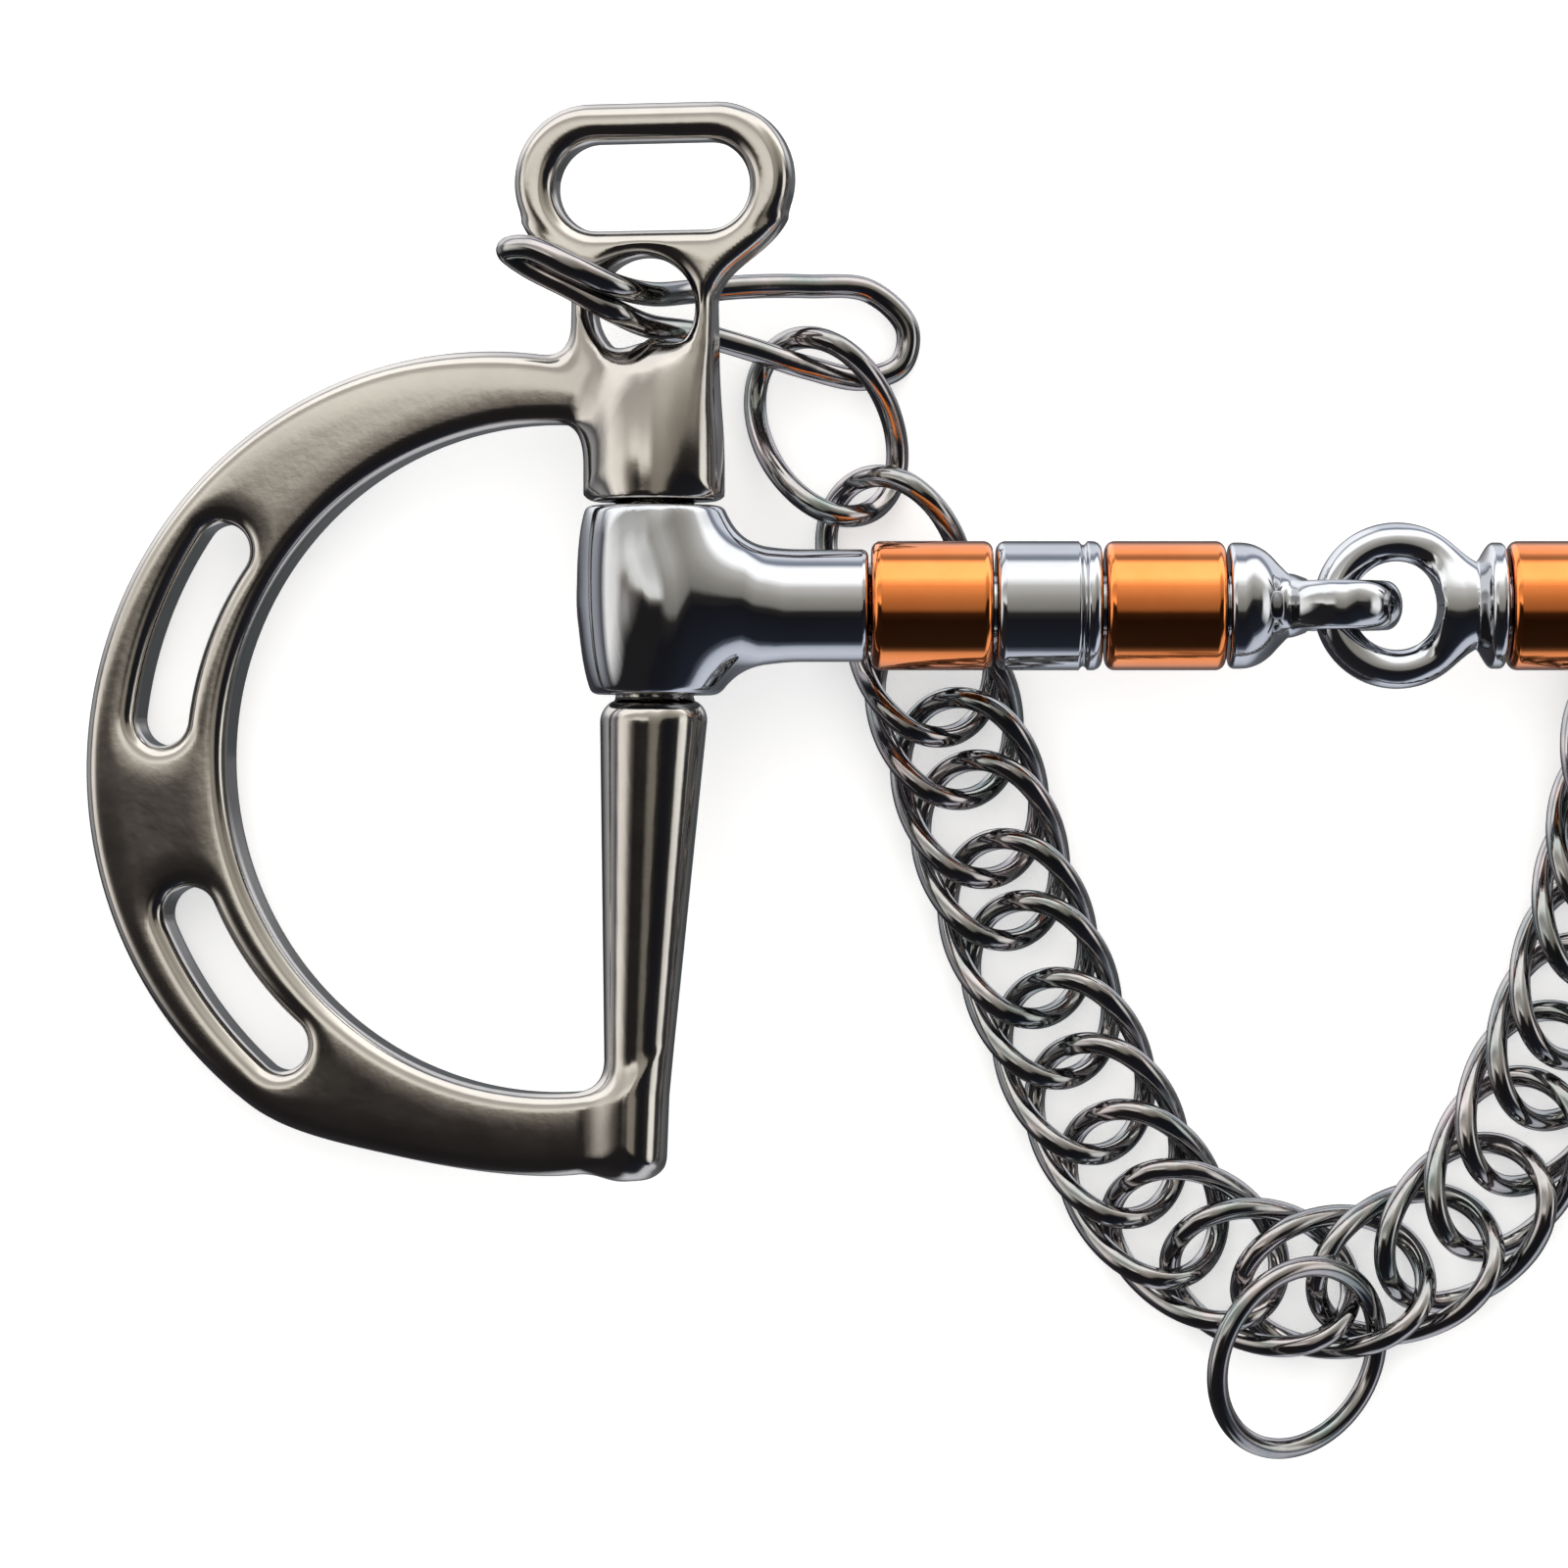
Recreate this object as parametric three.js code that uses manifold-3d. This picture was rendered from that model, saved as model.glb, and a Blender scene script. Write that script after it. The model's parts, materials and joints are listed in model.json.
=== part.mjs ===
// A jointed slotted-cheek curb bit, laid flat: two D cheeks with a bridle loop, a curb-hook hole and
// two rein slots, a single-jointed mouthpiece with copper and steel rollers, two curb hooks and a
// double-link curb chain with its lip-strap ring.
// Millimetres. +X runs along the mouthpiece, +Y towards the bridle loops, +Z up from the surface.
import * as THREE from 'three';
import { mergeVertices } from 'three/addons/utils/BufferGeometryUtils.js';
import Module from 'manifold-3d';

const wasm = await Module();
wasm.setup();

// ---- driving dimensions ------------------------------------------------------------------
const BAR_X = 72.6;            // cheek bar axis from the middle of the mouthpiece
const AXIS_Z = 15.9;           // height of the mouthpiece axis over the surface
const CHEEK_TILT = 12.6 * Math.PI / 180;   // each cheek leans out until its rim meets the surface
const CLEAR = 0.3;             // running gap between separate pieces

const PLATE_THICK = 6.4;       // D cheek plate
const PLATE_ROUND = 1.5;       // rounding of the plate's edges
const D_OUTER = { x: -17.5, y: -16.7, r: 42.8 };
const D_INNER = { x: -10.9, y: -15.6, r: 34.2 };
const REIN_SLOT = { x: -14, y: -16.1, r: 38.3, half: 2.8 };
const REIN_SLOT_ANGLES = [[145, 173], [204, 229]];   // degrees round the slot centre
const D_FLAT_X = -1;           // the plate ends inside the bar

const LOOP = { y: 43.3, halfLength: 14.5, halfHeight: 7.9, slotHalfLength: 10.2, slotHalfHeight: 4.5 };
const LOOP_THICK = 5.2;
const HOOK_HOLE = { x: -0.8, y: 30.2, r: 5.3 };
const NECK_LEFT = -8.5;
const NECK_RIGHT = 6.5;

const BOSS_R = 6.0;            // bar above the sleeve
const BOSS_TOP = 24;
const JOURNAL_R = 4.0;         // bar inside the sleeve
const SLEEVE_TOP = 10.3;
const SLEEVE_BOTTOM = -9.2;
const SLEEVE_R = 7.35;
const SLEEVE_BORE_R = 4.4;
const BAR_R = 5.9;             // bar just below the sleeve
const BAR_END_R = 3.9;
const BAR_BOTTOM = -58.6;
const BAR_LEAN = 0.032;        // the lower bar leans outward by this much per millimetre

const ARM_R = 6.15;            // plain arm between sleeve and rollers
const ARM_END_X = -50.8;
const ROLLER_R = 6.6;
const ROLLER_BORE_R = 3.5;
const SPINDLE_R = 3.15;
const ROLLERS = [
  { name: 'outer_copper_roller', from: 50.5, length: 12.4, copper: true },
  { name: 'steel_roller', from: 37.8, length: 10.8, copper: false },
  { name: 'inner_copper_roller', from: 26.7, length: 12.3, copper: true },
];
const TIP_X = -14.1;           // where the joint eyes start
const SOCKET_DEPTH = 2.2;      // the spindle's end sits in the eye's socket
const EYE = { x: -2.9, outer: 6.6, hole: 3.3, half: 2.5 };
const RING = { x: 3.1, outer: 8.5, hole: 4.5, half: 2.4 };

const HOOK_WIRE = 2.5;
const CHAIN_WIRE = 2.25;
const END_LINK = { halfLength: 9.8, halfWidth: 6.7, twist: 2.7, wire: 2.35 };
const LINK = { halfLength: 9.6, halfWidth: 6.9, twist: 3.1, wire: CHAIN_WIRE };
const CHAIN_Z = 4.35;          // middle of the chain over the surface
const PAIR_COUNT = 11;
const PAIR_GAPS = [6.8, 8.6];  // along the chain: inside a pair, then to the next pair
const BEND_GAPS = [7.5, 7.6];  // the same where the chain bends round its lowest point
const BEND_PAIRS = [4, 8];     // first and last pair of the bend
const END_LINK_GAPS = [16.2, 8.8];   // first end link to second, second to the first pair
// The chain's middle line: from the left hook, under the left rollers, round the bottom and back up
// under the right rollers, where it lies unhooked beside the right hook.
const CHAIN_ROUTE = [
  [-55, 18.8], [-47.6, 4], [-42.2, -12], [-37.6, -26], [-32.4, -40], [-26.8, -52.1], [-19.6, -63.4],
  [-8.9, -69.5], [3.1, -68.9], [11.8, -63.2], [18.5, -51.1], [23.6, -38.6], [27.4, -24], [30, -8],
  [31.4, 8], [32, 40],
];
// The lip-strap ring leans on the chain: threaded through curb_link_12, it lies over the chain on one
// side of it and under the chain on the other.
const STRAP_RING = { x: -6.41, y: -77.38, z: 8.73, radius: 10, wire: 2.3, tilt: [0.26, 0.544] };

// ---- materials -----------------------------------------------------------------------------
const finish = (color, roughness) => () =>
  new THREE.MeshStandardMaterial({ color, roughness, metalness: 1 });
const cheekSteel = finish(0x8b8680, 0.24);
const mouthSteel = finish(0xb9bdc4, 0.14);
const chainSteel = finish(0x8d8b8a, 0.2);
const copper = finish(0xc4622d, 0.2);

// ---- solids: closed meshes and their joins and cuts ---------------------------------------
function toSolid(geometry) {
  const bare = new THREE.BufferGeometry();
  bare.setAttribute('position', geometry.getAttribute('position').clone());
  if (geometry.index) bare.setIndex(geometry.index.clone());
  const merged = mergeVertices(bare, 1e-4);
  const triVerts = [];
  for (let i = 0; i < merged.index.count; i += 3) {
    const corners = [0, 1, 2].map((step) => merged.index.getX(i + step));
    if (new Set(corners).size === 3) triVerts.push(...corners);
  }
  return new wasm.Manifold(new wasm.Mesh({
    numProp: 3,
    vertProperties: new Float32Array(merged.getAttribute('position').array),
    triVerts: new Uint32Array(triVerts),
  }));
}

function toGeometry(solid) {
  const mesh = solid.getMesh();
  const geometry = new THREE.BufferGeometry();
  geometry.setAttribute('position', new THREE.BufferAttribute(mesh.vertProperties, 3));
  geometry.setIndex(new THREE.BufferAttribute(mesh.triVerts, 1));
  return geometry;
}

// Mirrors a geometry in the plane X = 0 and keeps its faces pointing out.
function mirrored(geometry) {
  const copy = geometry.clone().scale(-1, 1, 1);
  if (!copy.index) copy.setIndex([...Array(copy.getAttribute('position').count).keys()]);
  const index = copy.index;
  for (let i = 0; i < index.count; i += 3) {
    const second = index.getX(i + 1);
    index.setX(i + 1, index.getX(i + 2));
    index.setX(i + 2, second);
  }
  return copy;
}

// Revolves [radius, height] points round the Y axis.
function revolve(points, sides) {
  return new THREE.LatheGeometry(points.map(([r, h]) => new THREE.Vector2(r, h)), sides);
}

// Extrudes a shape about its middle plane, with rounded edges that stay inside its outline.
function roundedPlate(shape, thickness, round, curveSegments) {
  const plate = new THREE.ExtrudeGeometry(shape, {
    depth: thickness - 2 * round, bevelEnabled: true, bevelThickness: round, bevelSize: round,
    bevelOffset: -round, bevelSegments: 1, curveSegments,
  });
  return plate.translate(0, 0, round - thickness / 2);
}

function closedWire(curve, wire, steps, sides) {
  return new THREE.TubeGeometry(curve, steps, wire / 2, sides, true);
}

function pointOnArc(circle, radius, degrees) {
  const angle = degrees * Math.PI / 180;
  return new THREE.Vector2(circle.x + radius * Math.cos(angle), circle.y + radius * Math.sin(angle));
}

// Points along an arc, without the last one, so that arcs can follow each other.
function arcPoints(circle, radius, from, to, steps) {
  return Array.from({ length: steps }, (_, i) =>
    pointOnArc(circle, radius, from + (to - from) * i / steps));
}

// ---- cheek -----------------------------------------------------------------------------------
// Angle in degrees at which a circle meets the line x = D_FLAT_X, above the circle's middle.
const meetAngle = (circle) => Math.acos((D_FLAT_X - circle.x) / circle.r) * 180 / Math.PI;

function reinSlot([from, to]) {
  const { r, half } = REIN_SLOT;
  return new THREE.Path([
    ...arcPoints(REIN_SLOT, r + half, from, to, 7),
    ...arcPoints(pointOnArc(REIN_SLOT, r, to), half, to, to + 180, 6),
    ...arcPoints(REIN_SLOT, r - half, to, from, 7),
    ...arcPoints(pointOnArc(REIN_SLOT, r, from), half, from + 180, from + 360, 6),
  ]);
}

function dPlate() {
  const outer = meetAngle(D_OUTER);
  const inner = meetAngle(D_INNER);
  const shape = new THREE.Shape([
    ...arcPoints(D_OUTER, D_OUTER.r, outer, 360 - outer, 30),
    pointOnArc(D_OUTER, D_OUTER.r, 360 - outer),
    ...arcPoints(D_INNER, D_INNER.r, 360 - inner, inner, 28),
    pointOnArc(D_INNER, D_INNER.r, inner),
  ]);
  REIN_SLOT_ANGLES.forEach((angles) => shape.holes.push(reinSlot(angles)));
  return roundedPlate(shape, PLATE_THICK, PLATE_ROUND, 1);
}

function stadium(target, x, y, halfLength, halfHeight) {
  const straight = halfLength - halfHeight;
  target.absarc(x + straight, y, halfHeight, -Math.PI / 2, Math.PI / 2, false);
  target.absarc(x - straight, y, halfHeight, Math.PI / 2, 1.5 * Math.PI, false);
  return target;
}

function bridleLoop() {
  const shape = stadium(new THREE.Shape(), 0, LOOP.y, LOOP.halfLength, LOOP.halfHeight);
  shape.holes.push(stadium(new THREE.Path(), 0, LOOP.y, LOOP.slotHalfLength, LOOP.slotHalfHeight));
  return roundedPlate(shape, LOOP_THICK, 1.3, 6);
}

// The neck between bridle loop and bar, pierced by the round hole for the curb hook.
function neck() {
  const top = LOOP.y - LOOP.slotHalfHeight - 0.9;
  const shape = new THREE.Shape();
  shape.moveTo(-11, top);
  shape.lineTo(-11, top - 2.4);
  shape.quadraticCurveTo(NECK_LEFT - 0.4, top - 3.5, NECK_LEFT, HOOK_HOLE.y);
  shape.quadraticCurveTo(NECK_LEFT + 0.4, 25, BOSS_R * -1.15, 21);
  shape.lineTo(-4, 15);
  shape.lineTo(4, 15);
  shape.lineTo(BOSS_R, 20);
  shape.quadraticCurveTo(NECK_RIGHT - 0.4, 26, NECK_RIGHT + 0.9, HOOK_HOLE.y);
  shape.quadraticCurveTo(8.4, top - 3.2, 11, top - 2.4);
  shape.lineTo(11, top);
  shape.closePath();
  const hole = new THREE.Path().absarc(HOOK_HOLE.x, HOOK_HOLE.y, HOOK_HOLE.r, 0, 2 * Math.PI, false);
  shape.holes.push(hole);
  return roundedPlate(shape, LOOP_THICK, 0.8, 5);
}

function upperBar() {
  const journalTop = SLEEVE_TOP + CLEAR;
  return revolve([
    [0, SLEEVE_BOTTOM - 3], [JOURNAL_R, SLEEVE_BOTTOM - 3], [JOURNAL_R, journalTop],
    [BOSS_R - 0.5, journalTop], [BOSS_R, journalTop + 0.6], [BOSS_R, BOSS_TOP - 6],
    [BOSS_R - 1.2, BOSS_TOP - 2], [BOSS_R - 3.4, BOSS_TOP], [0, BOSS_TOP],
  ], 24);
}

function lowerBar() {
  const top = SLEEVE_BOTTOM - CLEAR;
  const bar = revolve([
    [0, BAR_BOTTOM], [BAR_END_R - 1.6, BAR_BOTTOM], [BAR_END_R - 0.3, BAR_BOTTOM + 1.2],
    [BAR_END_R, BAR_BOTTOM + 3], [BAR_END_R, -46], [BAR_R - 0.4, top - 5], [BAR_R, top - 0.5],
    [BAR_R - 0.5, top], [0, top],
  ], 24);
  const position = bar.getAttribute('position');
  for (let i = 0; i < position.count; i += 1) {
    position.setX(i, position.getX(i) - BAR_LEAN * (top - position.getY(i)));
  }
  return bar;
}

function cheekSolid() {
  const parts = [neck(), bridleLoop(), upperBar(), lowerBar()].map(toSolid);
  // the sleeve's room is cut out of the plate before the bar is joined to it
  const room = revolve([[0, SLEEVE_BOTTOM - CLEAR], [SLEEVE_R + 2, SLEEVE_BOTTOM - CLEAR],
    [SLEEVE_R + 2, SLEEVE_TOP + CLEAR], [0, SLEEVE_TOP + CLEAR]], 24);
  const plate = toSolid(dPlate()).subtract(toSolid(room));
  return toGeometry(parts.reduce((joined, part) => joined.add(part), plate));
}

// ---- mouthpiece -----------------------------------------------------------------------------
// The arm lies along +X from the bar axis at the origin of its own frame, towards the joint.
function armSolid() {
  const half = (SLEEVE_TOP - SLEEVE_BOTTOM) / 2;
  const middle = (SLEEVE_TOP + SLEEVE_BOTTOM) / 2;
  const sleeve = revolve([
    [0, -half], [SLEEVE_R - 1, -half], [SLEEVE_R - 0.25, -half + 0.9], [SLEEVE_R, 0],
    [SLEEVE_R - 0.25, half - 0.9], [SLEEVE_R - 1, half], [0, half],
  ], 24).translate(0, middle, 0);
  const armEnd = BAR_X + ARM_END_X;
  const spindleEnd = BAR_X + TIP_X + SOCKET_DEPTH - CLEAR;
  const arm = revolve([
    [0, 0], [SLEEVE_R, 0], [SLEEVE_R, 5], [SLEEVE_R - 0.1, 6.4], [ARM_R + 0.5, 8.6], [ARM_R, 11],
    [ARM_R, armEnd - 0.6], [ARM_R - 0.6, armEnd], [SPINDLE_R, armEnd], [SPINDLE_R, spindleEnd],
    [0, spindleEnd],
  ], 24).rotateZ(-Math.PI / 2);
  const bore = revolve([[0, -20], [SLEEVE_BORE_R, -20], [SLEEVE_BORE_R, 20], [0, 20]], 24);
  return toGeometry(toSolid(sleeve).add(toSolid(arm)).subtract(toSolid(bore)));
}

function rollerSolid(length) {
  const edge = 0.7;
  return revolve([
    [ROLLER_BORE_R, 0], [ROLLER_R - edge, 0], [ROLLER_R, edge], [ROLLER_R, length - edge],
    [ROLLER_R - edge, length], [ROLLER_BORE_R, length], [ROLLER_BORE_R, 0],
  ], 24).rotateZ(-Math.PI / 2);
}

// The collar at each arm's end tapers to a neck; its blind socket takes the spindle's end.
function tipSolid(eye, neckX, neckHalf, endX) {
  const base = revolve([
    [0, TIP_X], [ROLLER_R - 0.7, TIP_X], [ROLLER_R - 0.1, TIP_X + 0.7], [ROLLER_R - 0.9, TIP_X + 2.6],
    [neckHalf, neckX], [neckHalf, endX], [0, endX],
  ], 24).rotateZ(-Math.PI / 2);
  const socket = revolve([[0, TIP_X - 1], [ROLLER_BORE_R, TIP_X - 1],
    [ROLLER_BORE_R, TIP_X + SOCKET_DEPTH], [0, TIP_X + SOCKET_DEPTH]], 24).rotateZ(-Math.PI / 2);
  return toGeometry(toSolid(base).add(toSolid(eye)).subtract(toSolid(socket)));
}

// An eye of round section in the XY plane: its hole runs along Z.
function eyeRing({ outer, hole, half }) {
  const wall = (outer - hole) / 2;
  const middle = hole + wall;
  const section = [];
  for (let i = 0; i <= 8; i += 1) {
    const angle = 2 * Math.PI * i / 8;
    section.push([middle + wall * Math.cos(angle), half * Math.sin(angle)]);
  }
  section[8] = section[0];
  return revolve(section, 24).rotateX(Math.PI / 2);
}

function leftEyeSolid() {
  const eye = eyeRing(EYE).rotateX(Math.PI / 2).translate(EYE.x, 0, 0);
  return tipSolid(eye, -7.6, 3.1, EYE.x - EYE.hole - 1);
}

function rightRingSolid() {
  const ring = eyeRing(RING).translate(-RING.x, 0, 0);
  return mirrored(tipSolid(ring, -10.6, 3.0, -RING.x - RING.hole - 1.6));
}

// ---- curb hooks and chain ---------------------------------------------------------------------
// The hook is one closed wire: a wide end that lies on the surface and holds the chain, and two
// close strands that pass behind the neck, up through the round hole and out over the far side.
const HOOK_LINE = [
  [-50.5, 33.1, 2.6], [-57, 33.4, 5.4], [-63.4, 33.1, 8.6], [-68.8, 32.4, 11.3], [-72.8, 31.8, 15.6],
  [-76.4, 32.3, 19.6], [-81, 34.2, 21.4], [-85.2, 36.1, 20.9], [-87.4, 36, 19.4], [-85.6, 34.6, 18.6],
  [-81, 32.2, 18.8], [-76.9, 30, 18.3], [-73.2, 28.6, 14.8], [-68.6, 28.1, 11.4],
  [-63, 26.7, 9], [-57.2, 25, 6], [-51, 24, 2.5], [-47.2, 25.6, 1.6], [-46.6, 29.4, 1.6],
];

function hookSolid() {
  const points = HOOK_LINE.map(([x, y, z]) => new THREE.Vector3(x, y, z));
  return closedWire(new THREE.CatmullRomCurve3(points, true), HOOK_WIRE, 64, 6);
}

// A curb link lies along X and is twisted, so that each end is low on one side and high on the other.
class CurbLinkCurve extends THREE.Curve {
  constructor(size) {
    super();
    this.size = size;
  }

  getPoint(t, target = new THREE.Vector3()) {
    const angle = 2 * Math.PI * t;
    const { halfLength, halfWidth, twist } = this.size;
    return target.set(halfLength * Math.cos(angle), halfWidth * Math.sin(angle),
      -twist * Math.sin(2 * angle));
  }
}

class RingCurve extends THREE.Curve {
  constructor(radius) {
    super();
    this.radius = radius;
  }

  getPoint(t, target = new THREE.Vector3()) {
    const angle = 2 * Math.PI * t;
    return target.set(this.radius * Math.cos(angle), this.radius * Math.sin(angle), 0);
  }
}

// Names, sizes and distances along the route of every link, from the left hook to the free end.
function chainPlan() {
  const plan = [{ name: 'left_hook_link', size: END_LINK, at: 0 }];
  let at = END_LINK_GAPS[0];
  plan.push({ name: 'left_end_link', size: END_LINK, at });
  at += END_LINK_GAPS[1];
  for (let i = 1; i <= 2 * PAIR_COUNT; i += 1) {
    plan.push({ name: `curb_link_${String(i).padStart(2, '0')}`, size: LINK, at });
    const pair = Math.ceil(i / 2);
    const gaps = pair >= BEND_PAIRS[0] && pair <= BEND_PAIRS[1] ? BEND_GAPS : PAIR_GAPS;
    at += gaps[(i - 1) % 2];
  }
  plan.push({ name: 'right_end_link', size: END_LINK, at });
  plan.push({ name: 'right_hook_link', size: END_LINK, at: at + END_LINK_GAPS[0] });
  return plan;
}

function addChain(group) {
  const points = CHAIN_ROUTE.map(([x, y]) => new THREE.Vector3(x, y, CHAIN_Z));
  const route = new THREE.CatmullRomCurve3(points);
  route.arcLengthDivisions = 2000;
  const length = route.getLength();
  chainPlan().forEach(({ name, size, at }) => {
    const solid = closedWire(new CurbLinkCurve(size), size.wire, 16, 6);
    const link = addMesh(group, name, solid, chainSteel());
    const heading = route.getTangentAt(at / length);
    link.position.copy(route.getPointAt(at / length));
    link.rotation.z = Math.atan2(heading.y, heading.x);
  });
}

// ---- assembly --------------------------------------------------------------------------------
function addMesh(group, name, geometry, material) {
  const mesh = new THREE.Mesh(geometry, material);
  mesh.name = name;
  group.add(mesh);
  return mesh;
}

function addSide(object, side) {
  const left = side === 'left';
  const sign = left ? -1 : 1;
  const handed = (geometry) => (left ? geometry : mirrored(geometry));

  const cheek = new THREE.Group();
  cheek.position.set(sign * BAR_X, 0, AXIS_Z);
  cheek.rotation.y = sign * CHEEK_TILT;
  addMesh(cheek, `${side}_cheek`, handed(cheekSolid()), cheekSteel());

  const mouth = new THREE.Group();
  mouth.position.set(sign * BAR_X, 0, AXIS_Z);
  addMesh(mouth, `${side}_mouth_arm`, handed(armSolid()), mouthSteel());
  ROLLERS.forEach(({ name, from, length, copper: isCopper }) => {
    const roller = handed(rollerSolid(length));
    const mesh = addMesh(mouth, `${side}_${name}`, roller, isCopper ? copper() : mouthSteel());
    mesh.position.x = -sign * (BAR_X - from);
  });

  object.add(cheek, mouth);
  addMesh(object, `${side}_curb_hook`, handed(hookSolid()), chainSteel());
}

function addStrapRing(object) {
  const { x, y, z, radius, wire, tilt } = STRAP_RING;
  const solid = closedWire(new RingCurve(radius), wire, 24, 6);
  const ring = addMesh(object, 'lip_strap_ring', solid, chainSteel());
  ring.position.set(x, y, z);
  ring.rotation.set(tilt[0], tilt[1], 0, 'YXZ');
}

function buildBit() {
  const object = new THREE.Group();
  addSide(object, 'left');
  addSide(object, 'right');
  addMesh(object, 'left_joint_eye', leftEyeSolid(), mouthSteel()).position.z = AXIS_Z;
  addMesh(object, 'right_joint_ring', rightRingSolid(), mouthSteel()).position.z = AXIS_Z;
  addChain(object);
  addStrapRing(object);
  return object;
}

// Moves the object so that the origin is the bottom centre of its box.
function standOnOrigin(object) {
  const box = new THREE.Box3().setFromObject(object, true);
  const centre = box.getCenter(new THREE.Vector3());
  object.position.set(-centre.x, -centre.y, -box.min.z);
  return object;
}

export default standOnOrigin(buildBit());
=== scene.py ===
"""Looks of a jointed curb bit: polished cast cheeks, a chromed mouthpiece with copper and steel
rollers, and a twisted-wire curb chain. Shapes are worked out in millimetres and placed by the frame."""
import json
import math

import bpy
import numpy as np
import openvdb
from mathutils import Matrix, Vector


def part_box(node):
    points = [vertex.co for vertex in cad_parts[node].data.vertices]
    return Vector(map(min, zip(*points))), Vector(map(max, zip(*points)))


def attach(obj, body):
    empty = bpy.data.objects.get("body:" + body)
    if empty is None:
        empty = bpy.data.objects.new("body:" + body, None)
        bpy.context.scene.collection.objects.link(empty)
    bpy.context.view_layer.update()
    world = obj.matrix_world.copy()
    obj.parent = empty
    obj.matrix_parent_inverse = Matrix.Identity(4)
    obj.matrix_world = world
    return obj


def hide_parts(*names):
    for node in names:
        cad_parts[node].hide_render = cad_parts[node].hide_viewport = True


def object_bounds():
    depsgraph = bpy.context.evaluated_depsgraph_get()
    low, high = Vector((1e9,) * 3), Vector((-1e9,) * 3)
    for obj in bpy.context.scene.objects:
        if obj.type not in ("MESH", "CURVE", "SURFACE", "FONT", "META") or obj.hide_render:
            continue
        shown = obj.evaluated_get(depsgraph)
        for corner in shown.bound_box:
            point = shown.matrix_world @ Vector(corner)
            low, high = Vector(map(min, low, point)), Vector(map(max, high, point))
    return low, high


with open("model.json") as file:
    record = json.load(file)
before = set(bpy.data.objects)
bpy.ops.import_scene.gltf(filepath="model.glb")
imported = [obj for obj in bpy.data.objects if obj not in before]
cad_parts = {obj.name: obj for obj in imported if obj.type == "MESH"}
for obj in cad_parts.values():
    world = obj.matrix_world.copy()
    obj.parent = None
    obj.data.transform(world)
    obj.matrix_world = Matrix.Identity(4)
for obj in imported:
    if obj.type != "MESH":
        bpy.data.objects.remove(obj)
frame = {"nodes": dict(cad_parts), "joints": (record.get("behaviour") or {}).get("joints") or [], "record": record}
CAD_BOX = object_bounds()
RECORD = frame["record"]
JOINTS = {joint["name"]: joint for joint in frame["joints"]}
MM = 0.001

# ---- driving dimensions, in millimetres ----------------------------------------------------
# cheek, in its own frame: bar axis along Y through the origin, outboard is -X on the left side
D_OUTER = (-17.5, -16.7, 42.8)            # centre x, centre y, radius
D_INNER = (-10.9, -15.6, 34.2)
D_FLAT_X = -1.0
D_FILLET = 3.5                            # between the D and the neck
D_FOOT = ((-26, -56.6, -0.2), (-15, -58.7, -0.02))   # flats at the foot of the D: x, y, slope
PLATE_HALF = 3.2
PLATE_ROUND = 1.6
PLATE_CROWN = 0.14
CROWN_REACH = 4.2
SLOT_ARC = (-14.0, -16.1, 38.3)
SLOT_HALF = 2.8
SLOT_ANGLES = ((145, 173), (204, 229))    # degrees
LOOP_Y = 43.3
LOOP_OUTER = (14.5, 7.9)                  # half length, half height
LOOP_SLOT = (10.2, 4.5)
LOOP_SLOT_DROP = 0.6
LOOP_HALF = 2.6
LOOP_ROUND = 1.65
LOOP_THINS = (24, 31)                     # the plate thins to the loop's thickness between these
HOOK_HOLE = (-0.8, 30.2, 5.3)
NECK_LEFT = -8.5
NECK_RIGHT = 6.5
NECK_START = 12.0
NECK_FOOT = (27, 19)                      # between these it takes on the bar's width
NECK_FLARE = (4.5, 6.5)                   # widening under the loop, left and right
BOSS_R = 6.0
BOSS_TOP = 27.0
BOSS_FADES = 14.0                         # the boss starts to sink into the neck
SLEEVE_TOP = 10.3
SLEEVE_BOTTOM = -9.2
CLEAR = 0.3
JOURNAL_R = 4.0
BAR_R = 5.6
BAR_END_R = 3.3
BAR_TAPER_END = -50.0
BAR_BOTTOM = -58.6
BAR_END_ROUND = 2.4
BAR_LEAN = 0.046
# mouthpiece, X from the bar axis towards the joint
BAR_X = 72.6                              # bar axis from the middle of the mouthpiece
SLEEVE_TOP_R = 6.3
SLEEVE_BOTTOM_R = 5.7
SLEEVE_SWELL = 1.9
SLEEVE_BORE_R = 4.4
SLEEVE_ROOM_R = 12.0                      # metal of the cheek is cut away within this of the journal
ARM_R = 5.75
ARM_FLARE = 1.7
ARM_END = 21.8
ARM_ROOT = (4.0, 8.0)                     # the arm domes to nothing inside the sleeve: start, reach
ARM_FILLET = 4.0
SPINDLE_R = 3.15
COLLAR_X = -14.1                          # from the middle of the mouthpiece
COLLAR_R = 6.45
SOCKET_DEPTH = 2.2
SPINDLE_REACH = 1.9                       # into the socket
EYE_FORM = (-8.0, 2.6, -5.6, 1.8)         # dome end x, neck radius, neck end x, fillet
RING_FORM = (-11.2, 3.9, -7.4, 2.6)
EYE = (-2.9, 6.6, 3.3, 2.5)               # centre x, outer radius, hole radius, half width
RING = (3.1, 8.5, 4.5, 2.4)
ROLLER_BORE_R = 3.5
ROLLER_EDGE = 1.0
GROOVE = (1.9, 0.45, 0.4)                 # from the steel roller's inner end, half width, depth
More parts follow.
